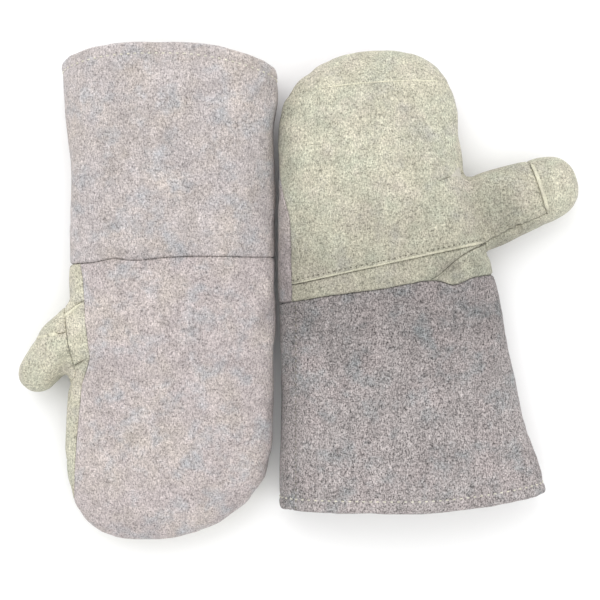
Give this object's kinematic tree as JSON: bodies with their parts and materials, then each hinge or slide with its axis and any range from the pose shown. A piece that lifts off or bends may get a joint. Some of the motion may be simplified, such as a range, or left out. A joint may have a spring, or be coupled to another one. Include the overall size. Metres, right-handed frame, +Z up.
{
  "type": "heat resistant mitts",
  "caption": "Long padded mittens for outdoor cooking, one for each hand, with a separate thumb stall, a raised heel seam and a wide open cuff.",
  "frame": {"origin": "on the surface that the pair lies on, under the middle of the pair's bounding box", "axes": "+X from the left mitt to the right mitt, +Y along the right mitt's fingers and the left mitt's cuff, +Z up from the surface"},
  "size_m": [0.4278, 0.3798, 0.0722],
  "materials": {
    "canvas_grey": "heathered lilac-grey felted canvas, matt",
    "canvas_olive": "heathered greenish beige felted canvas, matt",
    "seam_cream": "folded canvas seam edge, cream, matt",
    "thread_cream": "cream sewing thread",
    "wadding": "off-white cotton wadding",
    "lining_cotton": "plain woven natural cotton"
  },
  "bodies": {
    "right_hand": {"right_palm_panel": "canvas_olive", "right_fingertip_cap": "canvas_olive", "right_heel_band": "canvas_olive", "right_heel_welt": "seam_cream", "right_back_panel": "canvas_grey", "right_hand_batting": "wadding", "right_hand_lining": "lining_cotton"},
    "right_thumb": {"right_thumb_palm_panel": "canvas_olive", "right_thumb_gusset": "canvas_olive", "right_thumb_tip_cap": "canvas_olive", "right_thumb_welt": "seam_cream", "right_thumb_batting": "wadding", "right_thumb_lining": "lining_cotton"},
    "right_cuff": {"right_cuff_shell": "canvas_grey", "right_hem_thread": "thread_cream", "right_cuff_batting": "wadding", "right_cuff_lining": "lining_cotton"},
    "left_hand": {"left_palm_panel": "canvas_olive", "left_fingertip_cap": "canvas_olive", "left_heel_band": "canvas_olive", "left_heel_welt": "seam_cream", "left_back_panel": "canvas_grey", "left_hand_batting": "wadding", "left_hand_lining": "lining_cotton"},
    "left_thumb": {"left_thumb_palm_panel": "canvas_olive", "left_thumb_gusset": "canvas_olive", "left_thumb_tip_cap": "canvas_olive", "left_thumb_welt": "seam_cream", "left_thumb_batting": "wadding", "left_thumb_lining": "lining_cotton"},
    "left_cuff": {"left_cuff_shell": "canvas_grey", "left_hem_thread": "thread_cream", "left_cuff_batting": "wadding", "left_cuff_lining": "lining_cotton"}
  },
  "joints": [
    {"name": "right_wrist_bend", "type": "hinge", "parent": "right_hand", "child": "right_cuff", "pos_m": [0.068, 0.0015, 0.0535], "axis": [-1, 0, 0], "range_deg": [0, 40]},
    {"name": "right_thumb_swing", "type": "hinge", "parent": "right_hand", "child": "right_thumb", "pos_m": [0.1305, 0.057, 0.02], "axis": [0, 0, 1], "range_deg": [-28, 22]},
    {"name": "left_mitt_slide", "type": "slide", "parent": "right_hand", "child": "left_hand", "axis": [-1, 0, 0], "range_m": [0, 0.15]},
    {"name": "left_wrist_bend", "type": "hinge", "parent": "left_hand", "child": "left_cuff", "pos_m": [-0.097, 0.0225, 0.0505], "axis": [1, 0, 0], "range_deg": [0, 40]},
    {"name": "left_thumb_swing", "type": "hinge", "parent": "left_hand", "child": "left_thumb", "pos_m": [-0.176, -0.032, 0.02], "axis": [0, 0, 1], "range_deg": [-60, 0]}
  ]
}
